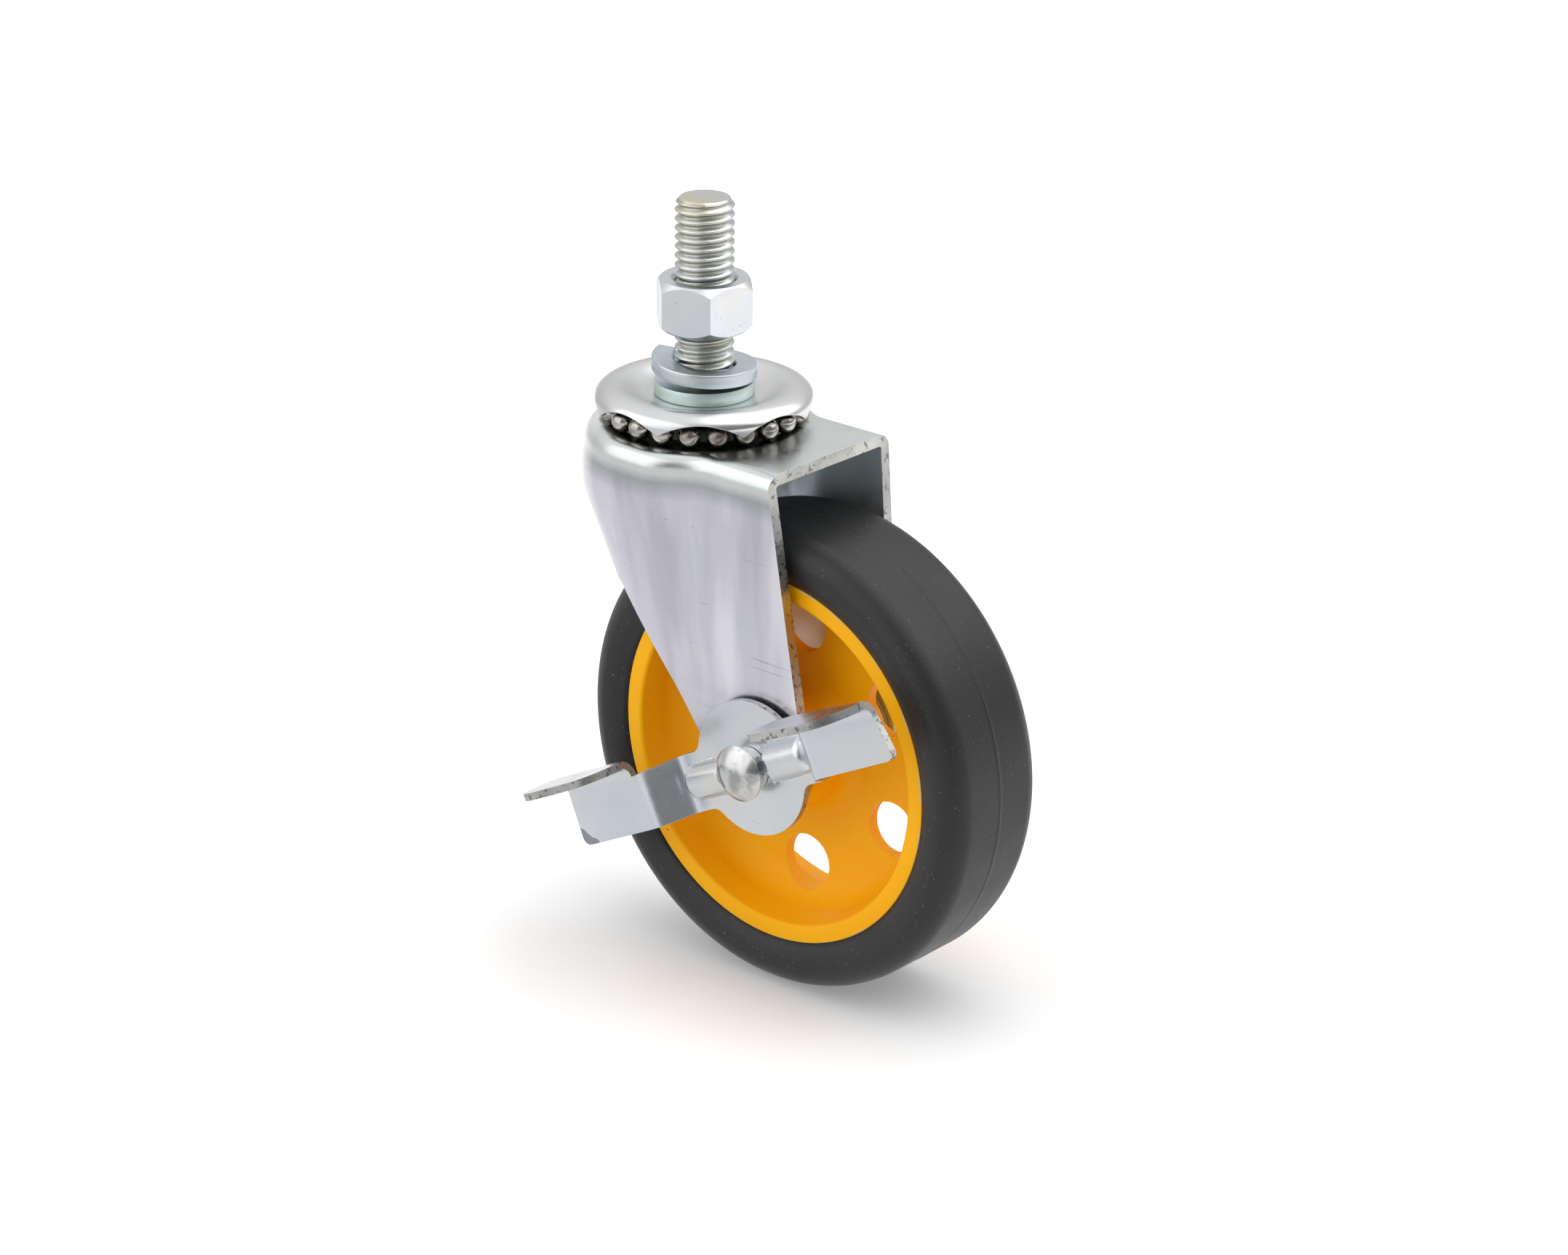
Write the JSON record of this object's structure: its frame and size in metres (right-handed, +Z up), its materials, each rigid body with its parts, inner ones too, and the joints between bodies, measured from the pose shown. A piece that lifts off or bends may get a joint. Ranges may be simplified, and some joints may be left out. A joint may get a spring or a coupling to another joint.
{
  "type": "braked stem castor",
  "caption": "Swivel castor with a threaded stem, a pressed steel fork on bare ball races, a moulded wheel with a soft tyre and a rocking foot brake.",
  "frame": {"origin": "middle of the shoulder under the stem, on the swivel axis", "axes": "+Z up the stem, +X the way the wheel trails, the brake lever is on the -Y side"},
  "size_m": [0.1056, 0.0696, 0.1632],
  "materials": {
    "stem_zinc": "zinc plated, satin",
    "washer_zinc": "zinc plated, satin",
    "nut_zinc": "zinc plated, satin",
    "cap_zinc": "zinc plated, bright",
    "ball_steel": "polished, greased",
    "fork_zinc": "zinc plated, bright",
    "sleeve_steel": "drawn, oiled",
    "bush_plastic": "moulded, plain",
    "core_plastic": "moulded, slight sheen",
    "tyre": "matte, soft",
    "bolt_zinc": "zinc plated, bright",
    "lever_zinc": "zinc plated, worn at the pedals",
    "insert_plastic": "moulded, plain"
  },
  "bodies": {
    "mount": {"stem": "stem_zinc", "lock_washer": "washer_zinc", "upper_race_cap": "cap_zinc", "lower_race_cup": "cap_zinc", "kingpin_washer": "washer_zinc"},
    "nut": {"hex_nut": "nut_zinc"},
    "upper_ring": {"upper_balls": "ball_steel"},
    "lower_ring": {"lower_balls": "ball_steel"},
    "fork": {"fork": "fork_zinc", "axle_bolt": "bolt_zinc", "axle_nut": "nut_zinc", "lock_insert": "insert_plastic", "axle_washer": "washer_zinc", "axle_sleeve": "sleeve_steel", "thrust_washer_near": "washer_zinc", "thrust_washer_far": "washer_zinc"},
    "wheel": {"wheel_core": "core_plastic", "tyre": "tyre", "hub_bush_near": "bush_plastic", "hub_bush_far": "bush_plastic"},
    "brake": {"brake_lever": "lever_zinc"}
  },
  "joints": [
    {"name": "nut_travel", "type": "slide", "parent": "mount", "child": "nut", "axis": [0, 0, 1], "range_m": [-0.0044, 0.017]},
    {"name": "swivel", "type": "hinge", "parent": "mount", "child": "fork", "pos_m": [0, 0, 0], "axis": [0, 0, 1], "continuous": true},
    {"name": "upper_ring_turn", "type": "hinge", "parent": "mount", "child": "upper_ring", "pos_m": [0, 0, -0.00618], "axis": [0, 0, 1], "continuous": true},
    {"name": "lower_ring_turn", "type": "hinge", "parent": "mount", "child": "lower_ring", "pos_m": [0, 0, -0.011], "axis": [0, 0, 1], "continuous": true},
    {"name": "wheel_spin", "type": "hinge", "parent": "fork", "child": "wheel", "pos_m": [0.0298, 0, -0.0734], "axis": [0, 1, 0], "continuous": true},
    {"name": "brake_rock", "type": "hinge", "parent": "fork", "child": "brake", "pos_m": [0.0298, 0, -0.0734], "axis": [0, 1, 0], "range_deg": [0, 50]}
  ],
  "couplings": [
    {"joint": "upper_ring_turn", "follows": "swivel", "ratio": 0.5},
    {"joint": "lower_ring_turn", "follows": "swivel", "ratio": 0.5}
  ]
}
